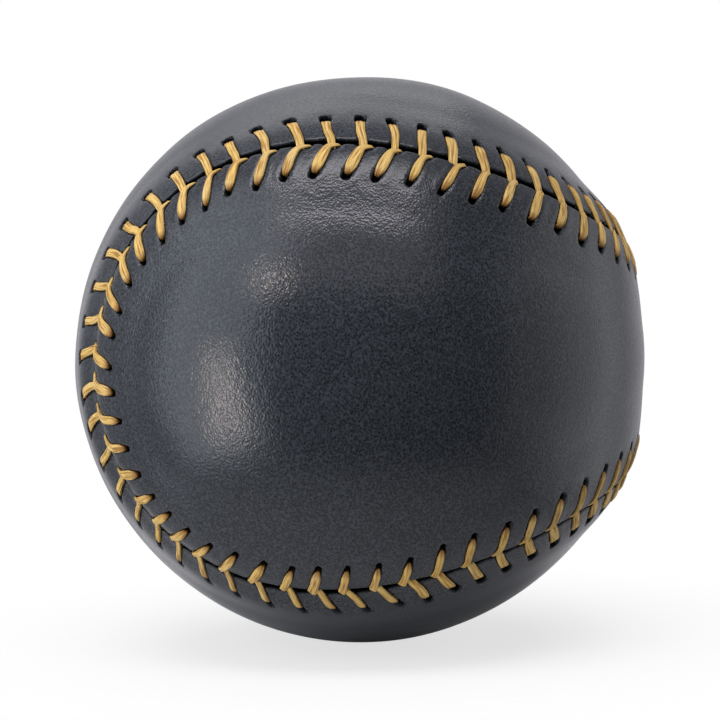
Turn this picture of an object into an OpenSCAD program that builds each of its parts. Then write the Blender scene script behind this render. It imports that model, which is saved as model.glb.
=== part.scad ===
// Laced leather ball: a cork and rubber pill, four windings of yarn
// and a two-panel leather cover sewn along one continuous seam.
// Units are millimetres. The centre of the ball is the origin.
// The panel that faces front and back has its waist at +X.
// The panel that faces up and down has its waist at -X.

/* [Pill] */
// Diameter of the cork core
cork_d = 20.6; // [16:0.1:26]
// Wall of the two black rubber half shells
black_rubber_t = 4; // [2:0.1:6]
// Thickness of the gasket that parts the half shells
gasket_t = 0.8; // [0.4:0.1:2]
// Wall of the red rubber shell moulded round them
red_rubber_t = 2.4; // [1:0.1:4]

/* [Windings] */
// Build-up of the four-ply grey wool
inner_grey_t = 14.5; // [8:0.1:20]
// Build-up of the three-ply white wool
white_t = 1.75; // [0.5:0.05:4]
// Build-up of the three-ply grey wool
outer_grey_t = 2.25; // [0.5:0.05:4]
// Build-up of the fine cotton finish
cotton_t = 0.5; // [0.3:0.05:1.5]

/* [Cover] */
// Thickness of the leather
leather_t = 1.25; // [0.8:0.05:2]
// Distance between the seams across a panel's waist
seam_waist = 25.4; // [20:0.1:32]
// Squareness of the seam's loops, from pointed below 0 to square above 0
seam_square = -0.0135; // [-0.04:0.0005:0.04]
// Gap between the edges of the two panels
seam_gap = 0.9; // [0.7:0.05:1.6]
// Bevel along the outer edge of a panel
edge_bevel = 0.4; // [0.1:0.05:0.6]
// Leather that stays raised beyond the stitch holes
welt_margin = 1.1; // [0.8:0.1:3]
// Run in which the raised leather falls back to the ball
welt_slope = 3.4; // [2:0.1:6]

/* [Lacing] */
// Number of double stitches round the seam, an even count
stitches = 108; // [88:2:124]
// Distance of the stitch holes from the seam line
hole_inset = 5.4; // [4:0.1:7]
// Thickness of the flattened thread
thread_t = 0.42; // [0.3:0.02:0.7]
// Width of the thread where it lies on the leather
leg_w = 1.4; // [0.8:0.05:1.8]
// Width of the thread where it is drawn through and under the leather
drawn_w = 0.7; // [0.4:0.05:0.9]
// Width of the tail that slips into the seam
tail_w = 0.5; // [0.3:0.05:0.6]
// Travel along the seam of a leg on the front and back panel
front_lead = 2.9; // [2.2:0.1:3.2]
// Travel along the seam of a leg on the top and bottom panel
top_lead = 1.1; // [0.4:0.1:1.4]

/* [Fits] */
// Gap between one layer and the next
layer_fit = 0.02; // [0:0.01:0.1]
// Room round the thread in a stitch hole
hole_fit = 0.1; // [0.05:0.01:0.3]
// Room between the thread and the surface that it lies on
thread_lay = 0.12; // [0.08:0.01:0.3]

/* [Hidden] */
$fn = 72;

// Radii of the layers, from the core outwards
cork_r = cork_d / 2;
black_in_r = cork_r + layer_fit;
black_r = black_in_r + black_rubber_t;
red_in_r = black_r + layer_fit;
red_r = red_in_r + red_rubber_t;
inner_grey_in_r = red_r + layer_fit;
inner_grey_r = inner_grey_in_r + inner_grey_t;
white_in_r = inner_grey_r + layer_fit;
white_r = white_in_r + white_t;
outer_grey_in_r = white_r + layer_fit;
outer_grey_r = outer_grey_in_r + outer_grey_t;
cotton_in_r = outer_grey_r + layer_fit;
wound_r = cotton_in_r + cotton_t;
cover_in_r = wound_r + layer_fit;
cover_r = cover_in_r + leather_t;

// Heights along the seam, where the leather rides over the hidden thread
under_r = wound_r + thread_lay + thread_t / 2;
welt_in_r = under_r + thread_t / 2 + 2 * thread_lay;
welt_r = welt_in_r + leather_t;
over_r = welt_r + thread_lay / 2 + thread_t / 2;

// Distances from the seam line, measured over the leather
edge_x = seam_gap / 2;
flat_x = hole_inset + welt_margin;
slope_x = flat_x + welt_slope / 2;
welt_x = flat_x + welt_slope;
panel_x = welt_x - welt_slope / 4;
bury = leather_t / 3;
hole_d = norm([drawn_w, thread_t]) + 2 * hole_fit;

// Shape of the seam: strengths of its first, third and fifth turns
waist_share = seam_waist / (2 * cover_r);
waist_root = sqrt(1 - pow(seam_square, 2) * (1 - pow(waist_share, 2)));
turn_gap = seam_square * (1 - pow(waist_share, 2)) + waist_share * waist_root;
turn_1 = (1 + turn_gap) / 2;
turn_3 = (1 - turn_gap) / 2;
turn_5 = seam_square;
seam_rise = 2 * sqrt(turn_1 * turn_3);

// The seam starts at the tip of the front loop
front_tip = 0;
top_tip = stitches / 4;
seam_start = -45;
seam_steps = 720;
seam_step = 360 / seam_steps;
panel_steps = 108;

function unit(v) = v / norm(v);

function seam_raw(t) =
    let (u = turn_1 * cos(t) + turn_3 * cos(3 * t) + turn_5 * cos(5 * t))
    let (v = turn_1 * sin(t) - turn_3 * sin(3 * t) + turn_5 * sin(5 * t))
    [seam_rise * sin(2 * t), (v - u) / sqrt(2), (u + v) / sqrt(2)];

// Direction from the centre to the seam at angle t
function seam_dir(t) = unit(seam_raw(t));

function seam_along(t) = unit(seam_dir(t + 0.05) - seam_dir(t - 0.05));

function seam_chord(i) =
    norm(seam_dir(seam_start + seam_step * (i + 1)) - seam_dir(seam_start + seam_step * i));

// Length run along the seam of a unit ball against the angle
seam_run = [
    for (i = 0, run = 0; i <= seam_steps; run = run + seam_chord(i), i = i + 1)
        [run, seam_start + seam_step * i]
];
seam_length = seam_run[seam_steps][0];
pitch = seam_length * welt_r / stitches;

// Angle at k stitches from the front tip
function seam_angle(k) =
    let (share = k / stitches)
    lookup((share - floor(share)) * seam_length, seam_run);

// Point at k stitches along the seam, x to the front panel's side and radius r
function seam_point(k, x, r) =
    let (t = seam_angle(k))
    let (out = seam_dir(t))
    let (side = cross(seam_along(t), out))
    let (turn = x / cover_r * 180 / PI)
    r * (out * cos(turn) + side * sin(turn));

// Two triangles of a four-cornered face, turned over on the other side
function quad(a, b, c, d, side) =
    side > 0 ? [[a, b, c], [a, c, d]] : [[c, b, a], [d, c, a]];

// Faces of a closed tube of rings, each of the given number of corners
function tube_faces(rings, corners, side) = [
    for (i = [0 : rings - 1], j = [0 : corners - 1])
        let (n = (i + 1) % rings, m = (j + 1) % corners)
        each quad(i * corners + j, n * corners + j, n * corners + m, i * corners + m, side)
];

module shell(inner_r, outer_r) {
    difference() {
        sphere(r = outer_r);
        sphere(r = inner_r);
    }
}

module cork_core() {
    color("BurlyWood") sphere(r = cork_r);
}

// Half shell above the gasket
module black_rubber_half() {
    seat = gasket_t / 2 + layer_fit;
    difference() {
        shell(black_in_r, black_r);
        translate([-black_r * 2, -black_r * 2, seat - black_r * 4])
            cube(black_r * 4);
    }
}

module black_rubber_upper() {
    color("DimGray") black_rubber_half();
}

module black_rubber_lower() {
    color("DimGray") mirror([0, 0, 1]) black_rubber_half();
}

module rubber_gasket() {
    color("Firebrick") intersection() {
        shell(black_in_r, black_r);
        cylinder(h = gasket_t, r = black_r * 2, center = true);
    }
}

module red_rubber_shell() {
    color("IndianRed") shell(red_in_r, red_r);
}

module grey_wool_inner() {
    color("Gray") shell(inner_grey_in_r, inner_grey_r);
}

module white_wool() {
    color("WhiteSmoke") shell(white_in_r, white_r);
}

module grey_wool_outer() {
    color("DarkGray") shell(outer_grey_in_r, outer_grey_r);
}

module cotton_finish() {
    color("Ivory") shell(cotton_in_r, wound_r);
}

// Stitch counts of the corners of a panel, in pairs that face each other
function panel_count(tip, i) = tip + (i + 0.5) * stitches / panel_steps;

// Wedge from the centre through everything a panel covers inside its welt
module panel_sector(tip, side) {
    last = panel_steps - 1;
    reach = 3 * cover_r;
    rim = [
        for (i = [0 : last])
            seam_point(panel_count(tip, i), side * panel_x, reach)
    ];
    cap = [
        for (i = [0 : panel_steps / 2 - 2])
            each quad(i, i + 1, last - 1 - i, last - i, side)
    ];
    walls = [
        for (i = [0 : last])
            side > 0 ? [panel_steps, (i + 1) % panel_steps, i]
                     : [panel_steps, i, (i + 1) % panel_steps]
    ];
    polyhedron(concat(rim, [[0, 0, 0]]), concat(cap, walls));
}

// Raised leather along the edge of a panel
module panel_welt(tip, side) {
    profile = [
        [edge_x, welt_r - edge_bevel],
        [edge_x + edge_bevel, welt_r],
        [flat_x, welt_r],
        [slope_x, (welt_r + cover_r) / 2],
        [welt_x, cover_r - bury],
        [welt_x, cover_in_r + bury],
        [flat_x, welt_in_r],
        [edge_x, welt_in_r]
    ];
    points = [
        for (i = [0 : panel_steps - 1], corner = profile)
            seam_point(panel_count(tip, i), side * corner[0], corner[1])
    ];
    polyhedron(points, tube_faces(panel_steps, len(profile), side));
}

// Holes for the lacing along the edge of a panel
module stitch_holes(side) {
    for (k = [0 : stitches - 1]) {
        axis = unit(seam_point(k, side * hole_inset, 1));
        multmatrix(hole_place(axis))
            translate([0, 0, wound_r])
                cylinder(h = over_r - wound_r, d = hole_d, $fn = 24);
    }
}

// Turn that stands Z along the axis
function hole_place(axis) =
    let (x = unit(cross(axis, abs(axis[2]) < 0.8 ? [0, 0, 1] : [1, 0, 0])))
    let (y = cross(axis, x))
    [[x[0], y[0], axis[0], 0], [x[1], y[1], axis[1], 0], [x[2], y[2], axis[2], 0]];

module cover_panel(tip, side) {
    difference() {
        union() {
            intersection() {
                shell(cover_in_r, cover_r);
                panel_sector(tip, side);
            }
            panel_welt(tip, side);
        }
        stitch_holes(side);
    }
}

module cover_front_back() {
    color([0.17, 0.17, 0.19]) cover_panel(front_tip, 1);
}

module cover_top_bottom() {
    color([0.22, 0.22, 0.24]) cover_panel(top_tip, -1);
}

// Corners of one ring of thread. The place is along the seam, across it
// and out from the centre; flat is the way the width lies and up the
// half of the thickness, both in the same three directions.
function thread_ring(k, place, w, flat, up) = [
    for (corner = [[1, 1], [-1, 1], [-1, -1], [1, -1]])
        let (at = place + corner[0] * w / 2 * flat + corner[1] * thread_t / 2 * up)
        seam_point(k + at[0] / pitch, at[1], at[2])
];

// Width direction of thread that heads at an angle to the seam
function across(heading) = [sin(heading), cos(heading), 0];

// One leg on the front and back panel, from its hole into the seam
function front_leg(k) = concat(
    thread_ring(k, [0, hole_inset, under_r], drawn_w, [1, 0, 0], [0, 1, -1]),
    thread_ring(k, [0, hole_inset, over_r], drawn_w, [1, 0, 0], [0, 1, 1]),
    thread_ring(k, [front_lead * 0.26, hole_inset * 0.52, over_r], leg_w, across(62), [0, 0, 1]),
    thread_ring(k, [front_lead * 0.62, hole_inset * 0.2, over_r], leg_w * 0.75, across(42), [0, 0, 1]),
    thread_ring(k, [front_lead, 0, over_r], tail_w, across(22), [0.9, -0.4, 1]),
    thread_ring(k, [front_lead, 0, under_r], drawn_w, [1, 0, 0], [0, -1, 1])
);

// One leg on the top and bottom panel
function top_leg(k) = concat(
    thread_ring(k, [0, -hole_inset, under_r], drawn_w, [1, 0, 0], [0, 1, 1]),
    thread_ring(k, [0, -hole_inset, over_r], drawn_w, [1, 0, 0], [0, 1, -1]),
    thread_ring(k, [top_lead * 0.4, -hole_inset * 0.6, over_r], leg_w, [1, 0, 0], [0, 0, -1]),
    thread_ring(k, [top_lead, 0, over_r], leg_w * 0.75, [1, 0, 0], [0, -1, -1]),
    thread_ring(k, [top_lead, 0, under_r], drawn_w, [1, 0, 0], [0, -1, -1])
);

// A thread sews a front leg and a top leg in turn, all round the seam
module lacing_thread(first) {
    points = [
        for (k = [0 : 2 : stitches - 2])
            each concat(front_leg(k + first), top_leg(k + first + 1))
    ];
    polyhedron(points, tube_faces(len(points) / 4, 4, 1));
}

module lacing_thread_one() {
    color([0.85, 0.64, 0.25]) lacing_thread(0);
}

module lacing_thread_two() {
    color([0.8, 0.58, 0.2]) lacing_thread(1);
}

cork_core();
black_rubber_upper();
black_rubber_lower();
rubber_gasket();
red_rubber_shell();
grey_wool_inner();
white_wool();
grey_wool_outer();
cotton_finish();
cover_front_back();
cover_top_bottom();
lacing_thread_one();
lacing_thread_two();
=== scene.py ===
import math
from collections import namedtuple

import bmesh
import bpy
import numpy as np
from mathutils import Matrix, Vector


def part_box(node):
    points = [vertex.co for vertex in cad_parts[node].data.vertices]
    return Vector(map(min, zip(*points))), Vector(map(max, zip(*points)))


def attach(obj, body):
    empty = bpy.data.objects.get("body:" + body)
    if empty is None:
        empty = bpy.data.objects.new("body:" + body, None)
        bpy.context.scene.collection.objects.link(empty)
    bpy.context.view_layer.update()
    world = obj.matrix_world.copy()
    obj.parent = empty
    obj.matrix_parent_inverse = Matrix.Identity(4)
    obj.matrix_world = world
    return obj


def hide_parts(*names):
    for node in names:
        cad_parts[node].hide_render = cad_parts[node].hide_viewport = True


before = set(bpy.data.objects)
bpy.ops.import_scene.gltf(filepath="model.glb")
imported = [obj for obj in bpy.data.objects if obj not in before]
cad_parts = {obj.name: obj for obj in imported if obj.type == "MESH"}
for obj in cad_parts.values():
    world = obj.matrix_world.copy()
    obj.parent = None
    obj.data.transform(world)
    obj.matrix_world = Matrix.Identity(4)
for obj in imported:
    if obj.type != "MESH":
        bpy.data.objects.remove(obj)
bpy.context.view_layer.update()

# Sizes are in millimetres here and turn into metres when a mesh is made.
MM = 0.001

# Seam and lacing, as in the CAD source
SEAM_WAIST = 25.4
SEAM_SQUARE = -0.0135
STITCHES = 108
THREAD_T = 0.42
DRAWN_W = 0.7
LAYER_FIT = 0.02

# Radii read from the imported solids
WOUND_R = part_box("cotton_finish")[1][2] / MM
COVER_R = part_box("cover_top_bottom")[1][2] / MM
INNER_R = WOUND_R + LAYER_FIT
LEATHER_T = COVER_R - INNER_R
UNDER_R = INNER_R + THREAD_T / 2

# The sewn ridge: its height over the plain leather, and where it starts and stops to fall
RIDGE_H = 0.76
RIDGE_FLAT = 1.8
RIDGE_END = 10.6
LIP_PLACE = 0.8

# The photograph's camera: its place round the ball and its lens
CAMERA_AZIMUTH = -7.66
CAMERA_ELEVATION = 2.58
CAMERA_ROLL = -1.28
CAMERA_DISTANCE = 282.0
CAMERA_LENS = 106.9
CAMERA_NEAR = 10
CAMERA_OFFSET = (-0.07, -0.21)

# Hand sewing. A leg has its reach from the seam, its lead along the seam, the place where it ends by the gap,
# and its width at the hole, at the middle and at the gap. A front leg curls, from straight (0) to a leaf (1).
# A top leg is shifted along the seam. The styles are those that the photograph shows round the seam.
FrontLeg = namedtuple("FrontLeg", "reach lead curl end hole_w mid_w end_w")
TopLeg = namedtuple("TopLeg", "reach shift lead end hole_w mid_w end_w")
Style = namedtuple("Style", "front top")
LEAF = Style(FrontLeg(4.5, 2.4, 1.0, 0.65, 0.8, 1.2, 0.5), TopLeg(3.6, 0.35, 1.15, 0.7, 1.1, 1.05, 0.88))
CROWN = Style(FrontLeg(4.6, 2.6, 1.0, 0.65, 0.8, 1.22, 0.42), TopLeg(3.8, 0.2, 1.2, 0.7, 1.2, 1.05, 0.88))
SLANT = Style(CROWN.front, CROWN.top._replace(shift=-0.1, lead=1.6))
UPRIGHT = Style(FrontLeg(4.5, 2.2, 0.9, 0.6, 0.78, 1.25, 0.5), TopLeg(3.65, 1.25, 0.5, 0.7, 1.05, 1.02, 0.87))
STEM = Style(UPRIGHT.front, UPRIGHT.top._replace(shift=0.45, lead=0.35))
SHEAF = Style(FrontLeg(4.75, 1.5, 0.6, 0.5, 0.75, 1.12, 0.72), TopLeg(3.5, 0.1, 0.9, 0.7, 0.85, 1.2, 0.95))
SHORT_SHEAF = Style(SHEAF.front._replace(reach=3.7), SHEAF.top._replace(shift=-0.1, lead=1.0))
STRAP = Style(FrontLeg(3.9, 1.9, 1.0, 0.35, 0.62, 0.88, 0.35), TopLeg(2.6, 0.3, 0.85, 0.15, 1.4, 1.35, 1.1))
WEDGE = Style(FrontLeg(3.35, 1.0, 0.0, 0.15, 0.62, 1.0, 1.12), TopLeg(3.4, -1.4, 1.7, 0.35, 0.66, 0.95, 0.9))
FLUKE = Style(FrontLeg(3.5, 1.7, 0.15, 0.35, 0.6, 0.95, 0.55), TopLeg(3.3, 0.0, 0.9, 0.5, 0.6, 0.72, 0.75))

# Where each style is met, by stitch count. Count 0 is at the left of the photograph and counts go clockwise.
STYLE_AT = (
    (-21, STRAP), (-16.5, STRAP), (-14, WEDGE), (-11.5, WEDGE), (-9, FLUKE), (-4.5, FLUKE), (-1.5, LEAF),
    (4, LEAF), (7, CROWN), (8.5, CROWN), (10, SLANT), (11.8, CROWN), (13.6, UPRIGHT), (15.2, STEM),
    (17, SHEAF), (20, SHEAF), (22.5, SHORT_SHEAF), (30, SHEAF), (40, CROWN), (55, LEAF), (70, STRAP),
)

# Spread of the small differences of hand work, in millimetres. The front lead and how fat a leg is differ
# by a share, and the place of the crease is in halves of the leg's width.
Hand = namedtuple("Hand", "front_lead top_lead front_reach top_reach front_shift top_shift front_bow top_bow "
                          "front_fat top_fat front_crease top_crease")
HAND_SPREAD = Hand(
    front_lead=0.07, top_lead=0.15,
    front_reach=0.16, top_reach=0.18,
    front_shift=0.12, top_shift=0.09,
    front_bow=0.12, top_bow=0.12,
    front_fat=0.09, top_fat=0.09,
    front_crease=0.25, top_crease=0.3,
)

# Bends of a leg from its hole to the gap: shares of its lead, its bow and its reach, and a set step ahead
Bend = namedtuple("Bend", "lead ahead bow reach")
FRONT_BENDS = (Bend(0.1, 0.1, 0.4, 0.82), Bend(0.3, 0.1, 1.0, 0.5), Bend(0.58, 0.0, 0.5, 0.22))
TOP_BENDS = (Bend(0.21, 0.0, 0.5, 0.8), Bend(0.53, 0.0, 1.0, 0.45), Bend(0.81, 0.0, 0.3, 0.14))

# How far the stitches run ahead, in pitches
DRIFT = (
    (-21, -0.12), (-17, -0.12), (-13, -0.03), (-9, -0.42), (-6.5, -0.36), (-3, -0.92), (2, -0.66), (7, -0.4),
    (13, -0.57), (17, -0.62), (22, -0.8), (54, -0.45),
)

# How far the seam strays to the front panel, in millimetres, and the run in which the stray dies away
WANDER = (
    (-34, 0.0), (-28, -0.9), (-24, -1.5), (-20, -0.1), (-15, 0.9), (-10, -0.2), (-4, -0.15), (0, 0.6),
    (8, 0.5), (12, 0.1), (15, 0.45), (20, -0.3), (22, -0.35), (24.5, -1.3), (28, -0.9), (34, 0.0), (54, 0.1),
)
WANDER_FADE = 9.0

# How far the lips sag into the seam and how far its gap stands open, in millimetres
SAG = (
    (-21, 0.1), (-15, 0.15), (-12, 0.4), (-9, 0.5), (-5, 0.55), (-2, 0.85), (2, 0.8), (4.5, 0.35), (7, 0.05),
    (12, 0.05), (20, 0.1), (54, 0.1),
)
FRONT_SAG_SHARE = 0.4
FRONT_SAG_FADE = 0.8
TOP_SAG_FADE = 2.2
OPENING = (
    (-21, -0.2), (-15, -0.16), (-12, 0.24), (-9, 0.27), (-2, 0.25), (2, 0.15), (5, 0.0), (12, 0.02),
    (20, 0.02), (54, 0.03),
)

# Steps to a stitch, and stitches to either side, when such values are evened out
KEY_STEPS = 20
KEY_BLEND = 1

rng = np.random.default_rng(STITCHES)


def unit(v):
    return v / np.linalg.norm(v, axis=-1, keepdims=True)


def smooth_step(low, high, x):
    f = np.clip((x - low) / (high - low), 0, 1)
    return f * f * (3 - 2 * f)


def slow_change(keys):
    """Values given at a few stitches, turned into an even change all round the seam."""
    at, value = np.array(keys, float).T
    k = np.arange(0, STITCHES, 1 / KEY_STEPS)
    line = np.interp(k, np.mod(at, STITCHES), value, period=STITCHES)
    reach = KEY_BLEND * KEY_STEPS
    window = np.ones(2 * reach + 1) / (2 * reach + 1)
    for _ in range(2):
        line = np.convolve(np.concatenate([line[-reach:], line, line[:reach]]), window, "valid")
    return lambda place: np.interp(place, k, line, period=STITCHES)


def slow_leg(kind, legs):
    """A leg whose every measure changes evenly from one given leg to the next."""
    parts = [slow_change([(at, leg[i]) for at, leg in legs]) for i in range(len(kind._fields))]
    return lambda place: kind(*(float(part(place)) for part in parts))


drift = slow_change(DRIFT)
wander = slow_change(WANDER)
sag = slow_change(SAG)
opening = slow_change(OPENING)
front_leg = slow_leg(FrontLeg, [(at, style.front) for at, style in STYLE_AT])
top_leg = slow_leg(TopLeg, [(at, style.top) for at, style in STYLE_AT])


# Seam curve

def seam_strengths():
    share = SEAM_WAIST / (2 * COVER_R)
    root = math.sqrt(1 - SEAM_SQUARE ** 2 * (1 - share ** 2))
    gap = SEAM_SQUARE * (1 - share ** 2) + share * root
    return (1 + gap) / 2, (1 - gap) / 2, SEAM_SQUARE


TURN_1, TURN_3, TURN_5 = seam_strengths()
SEAM_RISE = 2 * math.sqrt(TURN_1 * TURN_3)


def seam_dir(t):
    """Direction from the centre of the ball to the seam, t radians round it."""
    u = TURN_1 * np.cos(t) + TURN_3 * np.cos(3 * t) + TURN_5 * np.cos(5 * t)
    v = TURN_1 * np.sin(t) - TURN_3 * np.sin(3 * t) + TURN_5 * np.sin(5 * t)
    raw = [SEAM_RISE * np.sin(2 * t), (v - u) / math.sqrt(2), (u + v) / math.sqrt(2)]
    return unit(np.stack(raw, axis=-1))


SEAM_STEPS = 7200
SEAM_T = np.linspace(0, 2 * math.pi, SEAM_STEPS + 1) - math.pi / 4
SEAM_RUN = np.concatenate([[0], np.cumsum(np.linalg.norm(np.diff(seam_dir(SEAM_T), axis=0), axis=1))])
SEAM_LENGTH = SEAM_RUN[-1]
SEAM_NUDGE = 1e-3
PITCH = SEAM_LENGTH * (COVER_R + RIDGE_H) / STITCHES


def seam_frames(k):
    """Directions out of the ball, along the seam and to the front panel's side, k stitches along."""
    t = np.interp(np.mod((k + drift(k)) / STITCHES, 1.0) * SEAM_LENGTH, SEAM_RUN, SEAM_T)
    out = seam_dir(t)
    along = unit(seam_dir(t + SEAM_NUDGE) - seam_dir(t - SEAM_NUDGE))
    return out, along, np.cross(along, out)


def seam_points(k, x, r):
    """Points k stitches along the seam, x millimetres to the front panel's side and at radius r."""
    k, x, r = np.broadcast_arrays(k, x, r)
    out, _, side = seam_frames(k)
    stray = wander(k) * np.exp(-(x / WANDER_FADE) ** 2)
    turn = ((x + stray) / COVER_R)[..., None]
    return r[..., None] * (out * np.cos(turn) + side * np.sin(turn))


def ridge(d):
    """Height of the leather over the plain ball, d millimetres from the seam."""
    return RIDGE_H * (1 - smooth_step(RIDGE_FLAT, RIDGE_END, np.abs(d)))


def dip(k, d):
    """How far the leather sags at d millimetres from the seam, to the front panel's side if d is positive."""
    share = np.where(d > 0, FRONT_SAG_SHARE, 1.0)
    fade = np.where(d > 0, FRONT_SAG_FADE, TOP_SAG_FADE)
    return share * sag(k) * np.exp(-(np.maximum(np.abs(d) - LIP_PLACE, 0) / fade) ** 2)


# Out of round: bulges and dents of the outline, by degrees from the right over the top, height and spread

Bulge = namedtuple("Bulge", "angle height spread")
BULGES = (Bulge(97, -0.36, 15), Bulge(58, -0.22, 9), Bulge(301, -0.52, 12), Bulge(190, 0.24, 30))


def bulge(points):
    """How far the cover stands out at points on the ball, because it is wound and sewn by hand."""
    out = unit(points)
    total = np.zeros(points.shape[:-1])
    for part in BULGES:
        a = math.radians(part.angle)
        near = np.arccos(np.clip(out @ np.array([math.cos(a), 0, math.sin(a)]), -1, 1))
        total += part.height * np.exp(-(near / math.radians(part.spread)) ** 2)
    return total


# Gentle unevenness of the leather: waves of these lengths, each in its own direction

WAVE_COUNT = 14
WAVE_LENGTHS = (9, 26)
WAVE_H = 0.012
WAVES = [(unit(rng.normal(size=3)), rng.uniform(*WAVE_LENGTHS), rng.uniform(0, 2 * math.pi))
         for _ in range(WAVE_COUNT)]


def shaped(points):
    """Points moved out by the bulges and by the gentle unevenness of the leather."""
    rise = bulge(points)
    for way, length, start in WAVES:
        rise = rise + WAVE_H * np.sin(points @ way * (2 * math.pi / length) + start)
    return points + unit(points) * rise[..., None]


# Stitches

def spread_of(size):
    """One seeded difference of about this size, and of twice the size at most."""
    return float(np.clip(rng.normal(0, size), -2 * size, 2 * size))


def bent_line(start, lead, end, bow, bends):
    """Middle line of a leg from its hole to the gap: along the seam and across it."""
    middle = [(lead * b.lead + b.ahead + bow * b.bow, start * b.reach) for b in bends]
    return np.array([(0, start), *middle, (lead, end)])


class Stitch:
    """One double stitch: its style at this place on the seam, with the small differences of hand work."""

    def __init__(self, n):
        self.place = n
        self.hand = hand = Hand(*map(spread_of, HAND_SPREAD))
        front, top = front_leg(n), top_leg(n)
        self.front = front._replace(
            lead=front.lead * (1 + hand.front_lead),
            reach=front.reach + hand.front_reach,
        )
        self.top = top._replace(
            lead=top.lead + hand.top_lead,
            reach=top.reach + hand.top_reach,
            shift=top.shift + hand.top_shift,
        )
        self.front_w = np.array([front.hole_w, front.mid_w, front.end_w]) * (1 + hand.front_fat)
        self.top_w = np.array([top.hole_w, top.mid_w, top.end_w]) * (1 + hand.top_fat)

    def front_line(self):
        """Middle line of the front leg, which is between straight and leaf-shaped."""
        leg = self.front
        leaf = bent_line(leg.reach, leg.lead, leg.end, self.hand.front_bow, FRONT_BENDS)
        straight = np.linspace(leaf[0], leaf[-1], len(leaf))
        return straight + (leaf - straight) * leg.curl + (self.hand.front_shift, 0)

    def top_line(self):
        """Middle line of the top leg, which goes over the gap and in beside the front leg."""
        leg = self.top
        return bent_line(-leg.reach, leg.lead, leg.end, self.hand.top_bow, TOP_BENDS) + (leg.shift, 0)


stitches = [Stitch(n) for n in range(STITCHES)]


def cubic(p0, p1, p2, p3, f):
    """Place at share f of the way from p1 to p2, on a smooth line through all four."""
    return 0.5 * (2 * p1 + (p2 - p0) * f + (2 * p0 - 5 * p1 + 4 * p2 - p3) * f ** 2
                  + (3 * p1 - p0 - 3 * p2 + p3) * f ** 3)


def spline(points, steps):
    """Smooth line through points, with steps of them from the first to the last."""
    points = np.asarray(points, float)
    ends = np.vstack([2 * points[0] - points[1], points, 2 * points[-1] - points[-2]])
    u = np.linspace(0, len(points) - 1, steps)
    i = np.minimum(u.astype(int), len(points) - 2)
    return cubic(*(ends[i + j] for j in range(4)), (u - i)[:, None])


# Meshes

def make_mesh(name, points, polygons):
    """Smooth mesh object from points in millimetres."""
    mesh = bpy.data.meshes.new(name)
    mesh.from_pydata((points * MM).tolist(), [], polygons)
    mesh.validate()
    mesh.shade_smooth()
    obj = bpy.data.objects.new(name, mesh)
    bpy.context.scene.collection.objects.link(obj)
    return obj


def turn_faces_out(mesh):
    """Make every face of a closed mesh look outwards."""
    shell = bmesh.new()
    shell.from_mesh(mesh)
    bmesh.ops.recalc_face_normals(shell, faces=shell.faces)
    shell.to_mesh(mesh)
    shell.free()


def store_value(obj, name, values):
    """Keep one number for each point of a mesh, for its material."""
    layer = obj.data.attributes.new(name, "FLOAT", "POINT")
    layer.data.foreach_set("value", np.asarray(values, np.float32))


# Leather panels. The border has columns along the seam and rows away from it, and rungs span the field.

# Columns of one stitch, in pitches to either side of its hole. They are closest at the hole.
COLUMN_OFFSETS = (0.012, 0.037, 0.062, 0.088, 0.116, 0.147, 0.183, 0.226, 0.277, 0.335, 0.397, 0.464)
CELL = np.concatenate([-np.array(COLUMN_OFFSETS[::-1]), COLUMN_OFFSETS])

# Rows of the border, in millimetres from the seam: under the legs, round the holes, and on to the plain ball
LEG_ROWS = np.linspace(LIP_PLACE, 3.5, 14)
HOLE_ROWS = np.linspace(3.65, 6.5, 22)
SLOPE_ROWS = np.linspace(6.8, 10.8, 13)
STRIP_ROWS = np.concatenate([LEG_ROWS, HOLE_ROWS, SLOPE_ROWS])
STRIP_END = STRIP_ROWS[-1]
RUNG_STEPS = 34
UNDER_ROWS = (0.25, 3.0, 5.5, 8.0, STRIP_END)
UNDER_RUNG_STEPS = 8

# The lip rolls over into the seam: across the seam and down from the edge
LIP_ROUND = 0.42
LIP_DROP = 0.42
LIP_STEPS = 7
LIP_WALL = ((0.46, 0.8), (0.55, 1.15), (1.0, 1.3))
LIP_CLEAR = 0.04

# The lip is set forward, stitches draw it back, and both die away from the edge
LIP_SET = 0.1
LIP_DRAW = 0.2
LIP_DRAW_RUN = 0.8
LIP_FADE = 1.1

# Painted shade on the lip's cut leather, which stands in the seam's gap: its share from the foot of the lip's
# wall to its edge
LIP_PAINTED_SHADE = (2.1, -0.2)

# How far along the seam a stitch presses the leather, and the steps of its middle line
STITCH_REACH = 6.5
LINE_STEPS = 14

# A leg's groove and the pillows beside it, with places and reaches in halves of the leg's width
GROOVE_DEPTH = 0.2
GROOVE_REACH = 1.02
GROOVE_SQUARE = 6
PILLOW_H = 0.04
PILLOW_PLACE = 1.9
PILLOW_REACH = 0.8

# A hole: how far it lies past the end of its leg and half its length. Its wall, its painted shade and its rim
# reach to shares of its size, and its floor stays clear of the windings.
Hole = namedtuple("Hole", "past half_long")
FRONT_HOLE = Hole(0.5, 0.72)
TOP_HOLE = Hole(0.85, 0.9)
HOLE_W_SHARE = 0.55
HOLE_ROOM = 0.06
HOLE_SQUARE = 3.0
HOLE_DEPTH = 1.7
HOLE_WALL = (0.72, 1.05)
HOLE_PAINTED_SHADE = (0.9, 1.2)
RIM_DIP = 0.08
RIM_REACH = 1.7
PIT_ROOM = 0.1
PIT_FLOOR = INNER_R + PIT_ROOM - COVER_R


def line_distance(p, line):
    """Distance of points from a line of short pieces."""
    best = np.full(p.shape[:-1], np.inf)
    for a, b in zip(line[:-1], line[1:]):
        ab = b - a
        f = np.clip(((p - a) @ ab) / (ab @ ab), 0, 1)
        best = np.minimum(best, np.linalg.norm(p - a - f[..., None] * ab, axis=-1))
    return best


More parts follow.
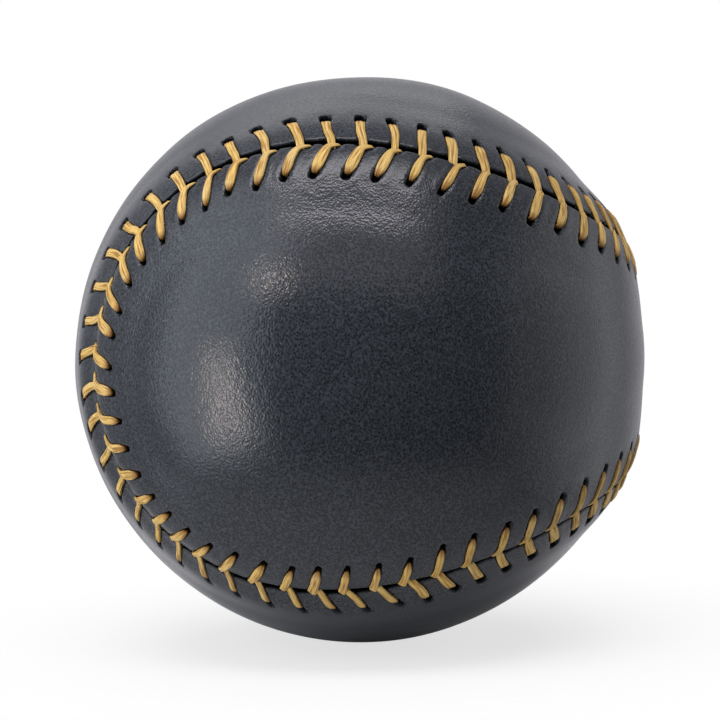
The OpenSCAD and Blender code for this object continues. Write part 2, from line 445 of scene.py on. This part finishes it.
def hole_ring(p, line, hole_w, hole):
    """How far points lie from the middle of a leg's hole, where 1 is its edge."""
    way = unit(line[0] - line[1])
    away = p - line[0] - hole.past * way
    wide = away @ (way[1], -way[0]) / (HOLE_W_SHARE * hole_w + HOLE_ROOM)
    long = away @ way / hole.half_long
    return (np.abs(wide) ** HOLE_SQUARE + np.abs(long) ** HOLE_SQUARE) ** (1 / HOLE_SQUARE)


def press_stitch(height, draw, dark, p, line, widths, hole):
    """Press one leg's groove, its hole and its pull on the lip into the leather round it, and paint shade in
    and round its hole.
    """
    hole_w, mid_w, _ = widths
    away = line_distance(p, spline(line, LINE_STEPS)) / (mid_w / 2)
    height -= GROOVE_DEPTH * np.exp(-(away / GROOVE_REACH) ** GROOVE_SQUARE)
    height += PILLOW_H * np.exp(-((away - PILLOW_PLACE) / PILLOW_REACH) ** 2)
    ring = hole_ring(p, line, hole_w, hole)
    height -= RIM_DIP * np.exp(-(ring / RIM_REACH) ** 2) + HOLE_DEPTH * (1 - smooth_step(*HOLE_WALL, ring))
    # Painted shade: the hole and a narrow band round its rim are painted black.
    dark += 1 - smooth_step(*HOLE_PAINTED_SHADE, ring)
    along = p[0, :, 0] - line[-2][0]
    draw += LIP_DRAW * np.exp(-(along / LIP_DRAW_RUN) ** 2)[None, :]


def seam_relief(k, d, side):
    """Height of the sewn leather over the plain ball, how far its lip is drawn back, and where shade is
    painted round its holes.
    """
    layers = np.stack([ridge(d) - dip(k, side * d), opening(k), np.zeros_like(d)])
    for s in stitches:
        along = (np.mod(k[0] - s.place + STITCHES / 2, STITCHES) - STITCHES / 2) * PITCH
        near = np.where(np.abs(along) < STITCH_REACH)[0]
        p = np.stack(np.broadcast_arrays(along[None, near], d[:, near]), axis=-1)
        part = layers[:, :, near]
        if side > 0:
            press_stitch(*part, p, s.front_line(), s.front_w, FRONT_HOLE)
        else:
            press_stitch(*part, p, s.top_line() * (1, -1), s.top_w, TOP_HOLE)
        layers[:, :, near] = part
    height, draw, dark = layers
    return np.maximum(height, PIT_FLOOR), draw, np.clip(dark, 0, 1)


def panel_columns(tip):
    """Stitch counts of a panel's columns, from its tip round, so that column j faces column -1-j."""
    cells = (tip + np.arange(STITCHES))[:, None] + CELL[None, :]
    return np.roll(cells.ravel(), -len(CELL) // 2)


def lip_rows(k, side, edge, top):
    """Rows of the lip, from the foot of its wall in the seam up to the edge of the border."""
    turns = np.linspace(math.pi / 2, 0, LIP_STEPS, endpoint=False)
    roll = [(LIP_ROUND * math.sin(a), LIP_DROP * (1 - math.cos(a))) for a in turns]
    rows = list(reversed(LIP_WALL)) + roll
    return np.stack([seam_points(k, side * np.maximum(edge - x, LIP_CLEAR), top - drop) for x, drop in rows])


def sewn_skin(k, side):
    """Rows of the lip and of the sewn border, with each point's distance from the seam and its painted shade.
    """
    kk, dd = np.broadcast_arrays(k[None, :], STRIP_ROWS[:, None])
    height, draw, dark = seam_relief(kk, dd, side)
    across = dd + (draw - LIP_SET) * np.exp(-(dd - LIP_PLACE) / LIP_FADE)
    border = seam_points(kk, side * across, COVER_R + height)
    lip = lip_rows(k, side, across[0], COVER_R + height[0])
    # Painted shade: the lip's leather in the gap is painted black, fading out towards its edge.
    lip_painted_shade = np.clip(np.linspace(*LIP_PAINTED_SHADE, len(lip)), 0, 1)[:, None] * np.ones(len(k))
    distance = np.concatenate([np.zeros(lip.shape[:-1]), dd])
    return shaped(np.concatenate([lip, border])), distance, np.concatenate([lip_painted_shade, dark])


def underside(k, side):
    """Rows of the underside, which rides over the hidden thread along the seam."""
    return np.stack([
        seam_points(k, side * d, np.maximum(COVER_R + ridge(d) - LEATHER_T, INNER_R)) for d in UNDER_ROWS
    ])


def slerp(a, b, f):
    """Points on the great circle from a to b, both of unit length."""
    angle = np.arccos(np.clip((a * b).sum(-1, keepdims=True), -1, 1))
    return (np.sin((1 - f) * angle) * a + np.sin(f * angle) * b) / np.maximum(np.sin(angle), 1e-9)


def rung_points(rim, steps, radius):
    """Points on rungs between the facing columns of a closed rim, without the rim's own."""
    half = len(rim) // 2
    near, far = unit(rim[:half]), unit(rim[::-1][:half])
    f = (np.arange(1, steps) / steps)[None, :, None]
    return slerp(near[:, None, :], far[:, None, :], f) * radius


def rung_faces(columns, rim_start, start, steps):
    """Faces that span a closed rim by its rungs, with one face at each end."""
    half = columns // 2
    near = rim_start + np.arange(half)
    inner = start + np.arange(half * (steps - 1)).reshape(half, steps - 1)
    far = rim_start + columns - 1 - np.arange(half)
    rungs = np.concatenate([near[:, None], inner, far[:, None]], axis=1)
    quads = np.stack([rungs[:-1, :-1], rungs[1:, :-1], rungs[1:, 1:], rungs[:-1, 1:]], axis=-1)
    return quads.reshape(-1, 4).tolist() + [rungs[0].tolist(), rungs[-1].tolist()]


def band_faces(near, far):
    """Faces between two closed rows of points, given by the number of each row's points."""
    return np.stack([near, np.roll(near, -1), np.roll(far, -1), far], axis=-1).tolist()


class Panel:
    """A leather panel in the making: points, their distance from the seam and their painted shade, and faces.
    """

    def __init__(self):
        self.points = []
        self.distance = []
        self.dark = []
        self.faces = []
        self.count = 0

    def add_points(self, points, distance, dark=0.0):
        """Add points and give the number of each."""
        shape = points.shape[:-1]
        numbers = self.count + np.arange(math.prod(shape)).reshape(shape)
        self.count += numbers.size
        self.points.append(points.reshape(-1, 3))
        self.distance.append(np.broadcast_to(distance, shape).ravel())
        self.dark.append(np.broadcast_to(dark, shape).ravel())
        return numbers

    def add_rows(self, rows, distance, dark=0.0):
        """Add closed rows of points with faces between them, and give the number of each point."""
        numbers = self.add_points(rows, distance, dark)
        for near, far in zip(numbers[:-1], numbers[1:]):
            self.faces += band_faces(near, far)
        return numbers

    def add_field(self, points, rim):
        """Span a closed row of points by the points of its rungs."""
        numbers = self.add_points(points, STRIP_END)
        self.faces += rung_faces(len(rim), rim[0], numbers[0, 0], points.shape[1] + 1)


def leather_panel(name, tip, side):
    """A closed leather panel: lip, sewn border, open field, and underside."""
    k = panel_columns(tip)
    panel = Panel()
    skin = panel.add_rows(*sewn_skin(k, side))
    rim = seam_points(k, side * STRIP_END, COVER_R)
    panel.add_field(shaped(rung_points(rim, RUNG_STEPS, COVER_R)), skin[-1])
    below = underside(k, side)
    under = panel.add_rows(below, 0.0)
    panel.faces += band_faces(skin[0], under[0])
    panel.add_field(rung_points(below[-1], UNDER_RUNG_STEPS, INNER_R), under[-1])

    obj = make_mesh(name, np.concatenate(panel.points), panel.faces)
    turn_faces_out(obj.data)
    store_value(obj, "seam_distance", np.concatenate(panel.distance))
    # The painted shade of holes and lips is kept as the hole value.
    store_value(obj, "hole", np.concatenate(panel.dark))
    return obj


# Lacing. A station is one place along a thread, across and along the seam, with the thread's section there.

Station = namedtuple("Station", "along across height width thick heading share crease")
RING = 32
RING_STEPS = 5
LEG_T = 0.46
LEG_LIFT = 0.04
LEG_SAG = 0.8
UNDER_H = UNDER_R - COVER_R

# Up to the hole: how far behind it the thread lies, how far it has risen, and how deep and narrow it enters
BEHIND_HOLE = (0.8, 0.45, 0.12)
RISEN_H = 0.4
ENTRY_DEPTH = 0.55
ENTRY_W_SHARE = 0.75

# Along a leg from its hole to the gap: the way its width lies, in degrees from across the seam, its lift over
# the leather, its thickness as a share of LEG_T, and the station at which its crease has come to the middle
ALONG_SEAM = 90
FRONT_HEADINGS = (ALONG_SEAM, 80, 64, 48, 28)
TOP_HEADINGS = (ALONG_SEAM, 88, 84, 82, 84)
LIFTS = (-0.14, 0.02, 0.03, 0.02, -0.08)
THICK_SHARES = (0.85, 1.0, 1.0, 0.9)
LOWER_W_SHARE = 0.97
END_T_LEAST = 0.3
END_T_SLOPE = 0.5
END_T_MOST = 0.8
CREASE_MIDDLE = 3

# Down into the gap: how far ahead and behind the thread goes, and its section in the gap and on leaving it
DROP_AHEAD = (0.22, 0.26, 0.3)
DROP_BEHIND = (0.3, 0.5)
FAR_SIDE = 1.3
GAP_DEPTH = 0.5
GAP_W = 0.6
GAP_T = 0.25
GAP_HEADING = 60
LEAVING_H = 0.2
LEAVING_W = 0.5

# Section of the thread: how square it is, the crease between its two plies, and its strands
SIDE_SQUARE = 0.85
FACE_SQUARE = 0.7
CREASE_DEPTH = 0.3
CREASE_W = 0.13
STRAND_H = 0.09
STRAND_PAIRS = 4.5
TWIST_STEP = 0.25


def rise_stations(line, hole_w, out, crease):
    """The thread comes from under the leather and up through its hole."""
    along, across = line[0]
    heights = (UNDER_H, UNDER_H + RISEN_H, ridge(across) - ENTRY_DEPTH)
    widths = (DRAWN_W, DRAWN_W, hole_w * ENTRY_W_SHARE)
    return [
        Station(along, across - out * behind, height, width, THREAD_T, ALONG_SEAM, 0, crease)
        for behind, height, width in zip(BEHIND_HOLE, heights, widths)
    ]


def over_stations(place, line, leg_w, headings, crease):
    """The thread lies on the leather, from its hole to the gap."""
    hole_w, mid_w, end_w = leg_w
    widths = (hole_w, mid_w, mid_w * LOWER_W_SHARE, (mid_w + end_w) / 2, end_w)
    shares = (*THICK_SHARES, min(END_T_LEAST + END_T_SLOPE * end_w / mid_w, END_T_MOST))
    rows = []
    for i, (along, across) in enumerate(line):
        rows.append(Station(
            along, across,
            height=ridge(across) - LEG_SAG * dip(place, across) + LEG_LIFT + LIFTS[i],
            width=widths[i],
            thick=shares[i] * LEG_T,
            heading=headings[i],
            share=i / (len(line) - 1),
            crease=crease * (1 - i / CREASE_MIDDLE),
        ))
    return rows


def drop_stations(line, end_w, out):
    """The thread goes down into the gap and away under the other panel."""
    along, across = line[-1]
    places = (across - out * DROP_BEHIND[0], across - out * DROP_BEHIND[1], -out * FAR_SIDE)
    heights = (RIDGE_H - GAP_DEPTH, UNDER_H + LEAVING_H, UNDER_H)
    widths = (min(end_w, GAP_W), LEAVING_W, DRAWN_W)
    thick = (GAP_T, THREAD_T, THREAD_T)
    headings = (GAP_HEADING, ALONG_SEAM, ALONG_SEAM)
    return [
        Station(along + DROP_AHEAD[i], places[i], heights[i], widths[i], thick[i], headings[i], 1, 0)
        for i in range(len(DROP_AHEAD))
    ]


def leg_stations(s, front):
    """Stations of one leg: up out of its hole, over the ridge, and down into the gap."""
    if front:
        line, leg_w, headings, crease, out = s.front_line(), s.front_w, FRONT_HEADINGS, s.hand.front_crease, 1
    else:
        line, leg_w, headings, crease, out = s.top_line(), s.top_w, TOP_HEADINGS, s.hand.top_crease, -1
    rows = rise_stations(line, leg_w[0], out, crease)
    rows += over_stations(s.place, line, leg_w, headings, crease)
    rows += drop_stations(line, leg_w[-1], out)
    return np.array(rows)


def thread_path(first):
    """Stations of a whole thread, which sews a front leg and a top leg in turn."""
    rows = []
    for n in range(first, first + STITCHES):
        leg = leg_stations(stitches[n % STITCHES], (n - first) % 2 == 0)
        leg[:, 0] += n * PITCH
        rows.append(leg)
    return np.concatenate(rows)


def closed_line(rows):
    """Smooth line through all stations and back to the first."""
    lap = np.zeros(rows.shape[1])
    lap[0] = STITCHES * PITCH
    p = np.vstack([rows[-1] - lap, rows, rows[:2] + lap])
    f = np.linspace(0, 1, RING_STEPS, endpoint=False)[None, :, None]
    n = len(rows)
    return cubic(*(p[j:j + n][:, None, :] for j in range(4)), f).reshape(-1, rows.shape[1])


def thread_frame(station):
    """Middle of the thread at each station, and the directions of its width and of its thickness."""
    k = station.along / PITCH
    centre = shaped(seam_points(k, station.across, COVER_R + station.height))
    ahead = unit(np.roll(centre, -1, axis=0) - np.roll(centre, 1, axis=0))
    _, along, side = seam_frames(k)
    turn = np.radians(station.heading)[:, None]
    flat = np.sin(turn) * along + np.cos(turn) * side
    flat = unit(flat - (flat * ahead).sum(-1, keepdims=True) * ahead)
    return centre, flat, np.cross(flat, ahead)


def thread_section(crease, twist):
    """Outline of a flattened thread of two plies and many strands, in halves of its width and thickness."""
    a = np.arange(RING) * 2 * math.pi / RING
    across = np.sign(np.cos(a)) * np.abs(np.cos(a)) ** SIDE_SQUARE
    up = np.sign(np.sin(a)) * np.abs(np.sin(a)) ** FACE_SQUARE
    plies = 1 - CREASE_DEPTH * np.exp(-((across[None, :] - crease[:, None]) / CREASE_W) ** 2)
    strands = 1 + STRAND_H * np.cos(across[None, :] * math.pi * STRAND_PAIRS + twist[:, None])
    return across[None, :], up[None, :] * plies * strands


def store_fibre_places(obj, centre, i, j):
    """Give each face corner its place round the thread and along it, for the fibres."""
    step = np.linalg.norm(np.roll(centre, -1, axis=0) - centre, axis=1)
    run = np.concatenate([[0], np.cumsum(step)])
    turn = np.arange(RING + 1) / RING
    corners_u = np.stack([turn[j], turn[j], turn[j + 1], turn[j + 1]], axis=-1).ravel()
    corners_v = np.stack([run[i], run[i + 1], run[i + 1], run[i]], axis=-1).ravel()
    layer = obj.data.uv_layers.new(name="fibre")
    layer.data.foreach_set("uv", np.stack([corners_u, corners_v], axis=-1).astype(np.float32).ravel())


def lacing_thread(name, first):
    """One thread, a closed tube that is sewn all the way round."""
    rows = closed_line(thread_path(first))
    station = Station(*rows.T)
    count = len(rows)
    centre, flat, up = thread_frame(station)
    twist = np.cumsum(rng.normal(0, TWIST_STEP, count))
    across, rise = thread_section(station.crease, twist - np.linspace(0, twist[-1], count))
    half_w, half_t = station.width[:, None] / 2, station.thick[:, None] / 2
    ring = (centre[:, None, :]
            + flat[:, None, :] * (half_w * across)[..., None]
            + up[:, None, :] * (half_t * rise)[..., None])
    i, j = np.meshgrid(np.arange(count), np.arange(RING), indexing="ij")
    n, m = (i + 1) % count, (j + 1) % RING
    quads = np.stack([i * RING + j, n * RING + j, n * RING + m, i * RING + m], axis=-1).reshape(-1, 4)
    obj = make_mesh(name, ring.reshape(-1, 3), quads.tolist())
    store_fibre_places(obj, centre, i, j)
    store_value(obj, "leg_share", np.repeat(np.clip(station.share, 0, 1), RING))
    return obj


# Materials

class Nodes:
    """Short way to write a material's node tree."""

    def __init__(self, name):
        self.material = bpy.data.materials.new(name)
        self.material.use_nodes = True
        self.tree = self.material.node_tree
        self.shader = self.tree.nodes["Principled BSDF"]

    def add(self, kind, **values):
        node = self.tree.nodes.new(kind)
        for key, value in values.items():
            if key in node.inputs:
                node.inputs[key].default_value = value
            else:
                setattr(node, key, value)
        return node

    def link(self, source, target):
        self.tree.links.new(source, target)

    def texture(self, kind, place, **values):
        node = self.add(kind, **values)
        self.link(place, node.inputs["Vector"])
        return node

    def mapped(self, place, scale, turn=(0, 0, 0)):
        node = self.add("ShaderNodeMapping")
        node.inputs["Scale"].default_value = scale
        node.inputs["Rotation"].default_value = tuple(math.radians(t) for t in turn)
        self.link(place, node.inputs["Vector"])
        return node.outputs["Vector"]

    def math(self, operation, a, b):
        node = self.add("ShaderNodeMath", operation=operation)
        for socket, value in zip(node.inputs, (a, b)):
            if isinstance(value, (int, float)):
                socket.default_value = value
            else:
                self.link(value, socket)
        return node.outputs[0]

    def ramp(self, source, values):
        node = self.add("ShaderNodeMapRange")
        self.link(source, node.inputs["Value"])
        for name, value in zip(("From Min", "From Max", "To Min", "To Max"), values):
            node.inputs[name].default_value = value
        return node.outputs["Result"]

    def mix(self, share, a, b):
        node = self.add("ShaderNodeMix", data_type="RGBA")
        self.link(share, node.inputs["Factor"])
        for socket, value in ((node.inputs[6], a), (node.inputs[7], b)):
            if isinstance(value, tuple):
                socket.default_value = (*value, 1)
            else:
                self.link(value, socket)
        return node.outputs[2]

    def mix_shaders(self, share, a, b):
        node = self.add("ShaderNodeMixShader")
        self.link(share, node.inputs["Fac"])
        self.link(a, node.inputs[1])
        self.link(b, node.inputs[2])
        return node.outputs["Shader"]

    def bump(self, height, distance):
        node = self.add("ShaderNodeBump", Strength=1.0, Distance=distance)
        self.link(height, node.inputs["Height"])
        self.link(node.outputs["Normal"], self.shader.inputs["Normal"])


# A ramp goes evenly from one result to another while its source goes from low to high
Ramp = namedtuple("Ramp", "low high to_low to_high")

# Leather: its grain, in cells to a metre and metres deep, its sheen and its colours
GRAIN_TURN = (0, -38, 0)
GRAIN_STRETCH = (1, 1, 0.85)
PEBBLE_SCALE = 3800
PEBBLE_SHARE = 0.7
FINE_SCALE = 4200
FINE_SHARE = 0.4
CREASE_SCALE = 1300
CREASE_SHARE = 0.9
WEAR_SCALE = 110
GRAIN_DEPTH = 0.000028
LEATHER_GLOSS = 0.35
LEATHER_DARK = (0.007, 0.0085, 0.0105)
LEATHER_PALE = (0.041, 0.048, 0.056)
# Colour of the painted shade in holes and on the lips in the seam
PAINTED_SHADE_BLACK = (0.002, 0.002, 0.002)
GRAIN_TONE = Ramp(0.3, 0.8, 0.0, 1.0)
WORN_ROUGHNESS = Ramp(0.3, 0.7, 0.13, 0.18)
BORDER_GRAIN = Ramp(4.0, 7.5, 0.75, 1.0)
BORDER_ROUGHNESS = Ramp(3.5, 7.0, 0.12, 0.0)


def leather_material():
    """Dark grained leather, with painted shade in its holes and on its cut edges in the seam: black there and
    without sheen.
    """
    n = Nodes("leather")
    place = n.add("ShaderNodeTexCoord").outputs["Object"]
    drawn = n.mapped(place, GRAIN_STRETCH, GRAIN_TURN)
    pebbles = n.texture("ShaderNodeTexVoronoi", drawn, feature="F1", Scale=PEBBLE_SCALE)
    fine = n.texture("ShaderNodeTexNoise", drawn, Scale=FINE_SCALE, Detail=0)
    creases = n.texture("ShaderNodeTexNoise", drawn, Scale=CREASE_SCALE, Detail=1)
    wear = n.texture("ShaderNodeTexNoise", place, Scale=WEAR_SCALE, Detail=2)
    pebbled = n.math("MULTIPLY", pebbles.outputs["Distance"], PEBBLE_SHARE)
    grain = n.math("ADD", pebbled, n.math("MULTIPLY", fine.outputs["Fac"], FINE_SHARE))
    relief = n.math("ADD", grain, n.math("MULTIPLY", creases.outputs["Fac"], CREASE_SHARE))

    # The border is drawn tight, so its grain is fainter and its sheen softer
    border = n.add("ShaderNodeAttribute", attribute_name="seam_distance").outputs["Fac"]
    n.bump(n.math("MULTIPLY", relief, n.ramp(border, BORDER_GRAIN)), GRAIN_DEPTH)
    worn = n.ramp(wear.outputs["Fac"], WORN_ROUGHNESS)
    n.link(n.math("ADD", worn, n.ramp(border, BORDER_ROUGHNESS)), n.shader.inputs["Roughness"])

    # The tone follows the grain: darker in its pits and paler where it stands up.
    colour = n.mix(n.ramp(grain, GRAIN_TONE), LEATHER_DARK, LEATHER_PALE)
    # Painted shade: holes and the lips in the seam are painted black and lose their sheen.
    hole = n.add("ShaderNodeAttribute", attribute_name="hole").outputs["Fac"]
    n.link(n.mix(hole, colour, PAINTED_SHADE_BLACK), n.shader.inputs["Base Color"])
    gloss = n.math("SUBTRACT", LEATHER_GLOSS, n.math("MULTIPLY", hole, LEATHER_GLOSS))
    n.link(gloss, n.shader.inputs["Specular IOR Level"])
    return n.material


# Thread: its fibres and strands, round the thread and along it, and its colours
FIBRE_SCALE = (17, 0.45, 1)
STRAND_SCALE = (15, 0.3, 1)
PATCH_SCALE = 260
FIBRE_DEPTH = 0.00007
GOLD_DEEP = (0.46, 0.275, 0.06)
GOLD_BRIGHT = (0.72, 0.505, 0.158)
GOLD_PALE = (0.71, 0.545, 0.255)
GOLD_SHADE = (0.27, 0.13, 0.02)
GOLD_PAINTED_SHADE_AT_HOLE = (0.24, 0.105, 0.018)
FIBRE_STREAK = Ramp(0.32, 0.66, 0.0, 1.0)
PATCH_PALE = Ramp(0.4, 0.7, 0.0, 0.35)
STRAND_SHADE = Ramp(0.38, 0.52, 0.88, 0.0)
NEAR_HOLE_SHADE = Ramp(0.0, 0.2, 0.8, 0.0)
THREAD_ROUGHNESS = 0.6
THREAD_GLOSS = 0.3


def thread_material():
    """Gold thread with fibres along it, with painted shade between its strands and near its holes."""
    n = Nodes("gold_thread")
    uv = n.add("ShaderNodeUVMap", uv_map="fibre").outputs["UV"]
    place = n.add("ShaderNodeTexCoord").outputs["Object"]
    fibres = n.texture("ShaderNodeTexNoise", n.mapped(uv, FIBRE_SCALE), Scale=1.0, Detail=4, Roughness=0.65)
    strands = n.texture("ShaderNodeTexNoise", n.mapped(uv, STRAND_SCALE), Scale=1.0, Detail=1)
    patches = n.texture("ShaderNodeTexNoise", place, Scale=PATCH_SCALE, Detail=2)

    colour = n.mix(n.ramp(fibres.outputs["Fac"], FIBRE_STREAK), GOLD_DEEP, GOLD_BRIGHT)
    colour = n.mix(n.ramp(patches.outputs["Fac"], PATCH_PALE), colour, GOLD_PALE)
    colour = n.mix(n.ramp(strands.outputs["Fac"], STRAND_SHADE), colour, GOLD_SHADE)
    # Painted shade: the thread is darker near its holes, where it goes down into them.
    share = n.add("ShaderNodeAttribute", attribute_name="leg_share").outputs["Fac"]
    colour = n.mix(n.ramp(share, NEAR_HOLE_SHADE), colour, GOLD_PAINTED_SHADE_AT_HOLE)
    n.link(colour, n.shader.inputs["Base Color"])
    n.bump(n.math("ADD", fibres.outputs["Fac"], strands.outputs["Fac"]), FIBRE_DEPTH)
    n.shader.inputs["Roughness"].default_value = THREAD_ROUGHNESS
    n.shader.inputs["Specular IOR Level"].default_value = THREAD_GLOSS
    return n.material


# The layers inside keep their solids. Each has two mixed tones, in spots to a metre, and a depth in metres.
Stuff = namedtuple("Stuff", "name dark light scale roughness depth nodes")
INSIDE = (
    Stuff("cork", (0.22, 0.11, 0.05), (0.5, 0.32, 0.18), 700, 0.85, 0.0002, ("cork_core",)),
    Stuff("black_rubber", (0.01, 0.01, 0.01), (0.025, 0.025, 0.025), 500, 0.6, 0.00003,
          ("black_rubber_upper", "black_rubber_lower")),
    Stuff("red_rubber", (0.2, 0.02, 0.015), (0.3, 0.04, 0.03), 500, 0.6, 0.00003,
          ("rubber_gasket", "red_rubber_shell")),
    Stuff("grey_wool", (0.1, 0.1, 0.105), (0.3, 0.3, 0.31), 1200, 0.95, 0.0003,
          ("grey_wool_inner", "grey_wool_outer")),
    Stuff("white_wool", (0.5, 0.48, 0.42), (0.75, 0.73, 0.68), 1200, 0.95, 0.0003, ("white_wool",)),
    Stuff("cotton", (0.45, 0.42, 0.34), (0.7, 0.67, 0.58), 1800, 0.9, 0.0001, ("cotton_finish",)),
)
PLAIN_TONE = Ramp(0.35, 0.65, 0.0, 1.0)


def plain_material(stuff):
    """Matt stuff with two mixed tones and a fine uneven surface."""
    n = Nodes(stuff.name)
    place = n.add("ShaderNodeTexCoord").outputs["Object"]
    noise = n.texture("ShaderNodeTexNoise", place, Scale=stuff.scale, Detail=4, Roughness=0.6)
    colour = n.mix(n.ramp(noise.outputs["Fac"], PLAIN_TONE), stuff.dark, stuff.light)
    n.link(colour, n.shader.inputs["Base Color"])
    n.bump(noise.outputs["Fac"], stuff.depth)
    n.shader.inputs["Roughness"].default_value = stuff.roughness
    return n.material


def paint_inside():
    for stuff in INSIDE:
        material = plain_material(stuff)
        for name in stuff.nodes:
            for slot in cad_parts[name].material_slots:
                slot.material = material


# Stage, light and camera

FLOOR_REACH = 86
FLOOR_SIDES = 96
FLOOR_DROP = 0.05
FLOOR_FADE = 0.5
FLOOR_COLOUR = (0.85, 0.85, 0.85, 1)
FLOOR_ROUGHNESS = 0.9
SHADOW_SHARE = 0.3
WHITE = (1, 1, 1, 1)

# The room's light: its colour, and its strength from where it is dim, in front of the ball, to behind it
ROOM_COLOUR = (0.95, 0.94, 1, 1)
ROOM_STRENGTH = Ramp(-0.7, 0.45, 0.13, 0.58)

# Lamps: place and size in millimetres, power in watts, and colour
Lamp = namedtuple("Lamp", "name place size power colour")
LAMPS = (
    Lamp("overhead_box", (-60, -205, 498), (440, 150), 1.68, (1, 0.95, 1)),
    Lamp("front_box", (-60, -340, 350), (560, 320), 0.44, (1, 0.94, 1)),
    Lamp("back_box", (0, 330, 440), (460, 260), 0.25, (1, 1, 1)),
    Lamp("window_box", (-500, -190, 90), (450, 1000), 3.3, (0.86, 0.92, 1)),
    Lamp("right_box", (600, -100, 20), (740, 760), 0.74, (0.94, 0.97, 1)),
    Lamp("right_back_box", (600, 40, 20), (460, 760), 0.3, (1, 1, 1)),
    Lamp("upper_left_box", (-385, -380, 330), (34, 52), 0.21, (1, 0.82, 0.74)),
    Lamp("lower_left_box", (-315, -175, -66), (26, 200), 0.25, (1, 0.84, 0.76)),
)


def floor_material():
    """Pale, faded out at the rim, and white to the camera but for a share of the ball's shadow."""
    n = Nodes("floor")
    n.shader.inputs["Base Color"].default_value = FLOOR_COLOUR
    n.shader.inputs["Roughness"].default_value = FLOOR_ROUGHNESS
    white = n.add("ShaderNodeEmission", Color=WHITE, Strength=1.0).outputs["Emission"]
    clear = n.add("ShaderNodeBsdfTransparent").outputs["BSDF"]
    away = n.add("ShaderNodeVectorMath", operation="LENGTH")
    n.link(n.add("ShaderNodeTexCoord").outputs["Object"], away.inputs[0])
    reach = FLOOR_REACH * MM
    whiteness = n.ramp(away.outputs["Value"], Ramp(FLOOR_FADE * reach, reach, 1 - SHADOW_SHARE, 1.0))
    fading = n.ramp(away.outputs["Value"], Ramp(FLOOR_FADE * reach, reach, 0.0, 1.0))
    seen = n.math("MULTIPLY", n.add("ShaderNodeLightPath").outputs["Is Camera Ray"], whiteness)
    sheet = n.mix_shaders(seen, n.shader.outputs["BSDF"], white)
    n.link(n.mix_shaders(fading, sheet, clear), n.tree.nodes["Material Output"].inputs["Surface"])
    return n.material


def make_floor():
    turns = np.arange(FLOOR_SIDES) * 2 * math.pi / FLOOR_SIDES
    height = np.full(FLOOR_SIDES, -COVER_R - FLOOR_DROP)
    rim = np.stack([FLOOR_REACH * np.cos(turns), FLOOR_REACH * np.sin(turns), height], axis=-1)
    floor = make_mesh("floor", rim, [list(range(FLOOR_SIDES))])
    floor.data.materials.append(floor_material())


def make_world():
    """A room that is bright behind the ball, dim in front of it, and white to the camera."""
    world = bpy.data.worlds.new("studio")
    bpy.context.scene.world = world
    world.use_nodes = True
    tree = world.node_tree
    tree.nodes.clear()
    add, link = tree.nodes.new, tree.links.new
    split = add("ShaderNodeSeparateXYZ")
    link(add("ShaderNodeTexCoord").outputs["Generated"], split.inputs["Vector"])
    depth = add("ShaderNodeMapRange")
    link(split.outputs["Y"], depth.inputs["Value"])
    for name, value in zip(("From Min", "From Max", "To Min", "To Max"), ROOM_STRENGTH):
        depth.inputs[name].default_value = value
    room, white = add("ShaderNodeBackground"), add("ShaderNodeBackground")
    link(depth.outputs["Result"], room.inputs["Strength"])
    room.inputs["Color"].default_value = ROOM_COLOUR
    white.inputs["Color"].default_value = WHITE
    mixed = add("ShaderNodeMixShader")
    link(add("ShaderNodeLightPath").outputs["Is Camera Ray"], mixed.inputs["Fac"])
    link(room.outputs["Background"], mixed.inputs[1])
    link(white.outputs["Background"], mixed.inputs[2])
    link(mixed.outputs["Shader"], add("ShaderNodeOutputWorld").inputs["Surface"])


def make_lamp(lamp):
    """Rectangular soft box that faces the ball."""
    data = bpy.data.lights.new(lamp.name, "AREA")
    data.shape = "RECTANGLE"
    data.size, data.size_y = (side * MM for side in lamp.size)
    data.energy = lamp.power
    data.color = lamp.colour
    obj = bpy.data.objects.new(lamp.name, data)
    obj.location = Vector(lamp.place) * MM
    obj.rotation_euler = (-obj.location).to_track_quat("-Z", "Y").to_euler()
    bpy.context.scene.collection.objects.link(obj)


def make_camera():
    data = bpy.data.cameras.new("camera")
    data.lens = CAMERA_LENS
    data.clip_start = CAMERA_NEAR * MM
    camera = bpy.data.objects.new("camera", data)
    azimuth, elevation = math.radians(CAMERA_AZIMUTH), math.radians(CAMERA_ELEVATION)
    way = Vector((math.sin(azimuth) * math.cos(elevation), -math.cos(azimuth) * math.cos(elevation),
                  math.sin(elevation)))
    turn = (-way).to_track_quat("-Z", "Y").to_matrix() @ Matrix.Rotation(math.radians(CAMERA_ROLL), 3, "Z")
    shift = turn @ Vector((*CAMERA_OFFSET, 0))
    camera.matrix_world = Matrix.Translation((way * CAMERA_DISTANCE + shift) * MM) @ turn.to_4x4()
    bpy.context.scene.collection.objects.link(camera)
    bpy.context.scene.camera = camera


def make_studio():
    make_camera()
    make_world()
    make_floor()
    for lamp in LAMPS:
        make_lamp(lamp)
    bpy.context.scene.view_settings.view_transform = "Standard"


def place_piece(piece, node, material):
    piece.data.materials.append(material)
    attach(piece, "root")
    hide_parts(node)


make_studio()
leather, gold = leather_material(), thread_material()
place_piece(leather_panel("front_back_leather", 0, 1), "cover_front_back", leather)
place_piece(leather_panel("top_bottom_leather", STITCHES // 4, -1), "cover_top_bottom", leather)
place_piece(lacing_thread("gold_lacing_one", 0), "lacing_thread_one", gold)
place_piece(lacing_thread("gold_lacing_two", 1), "lacing_thread_two", gold)
paint_inside()
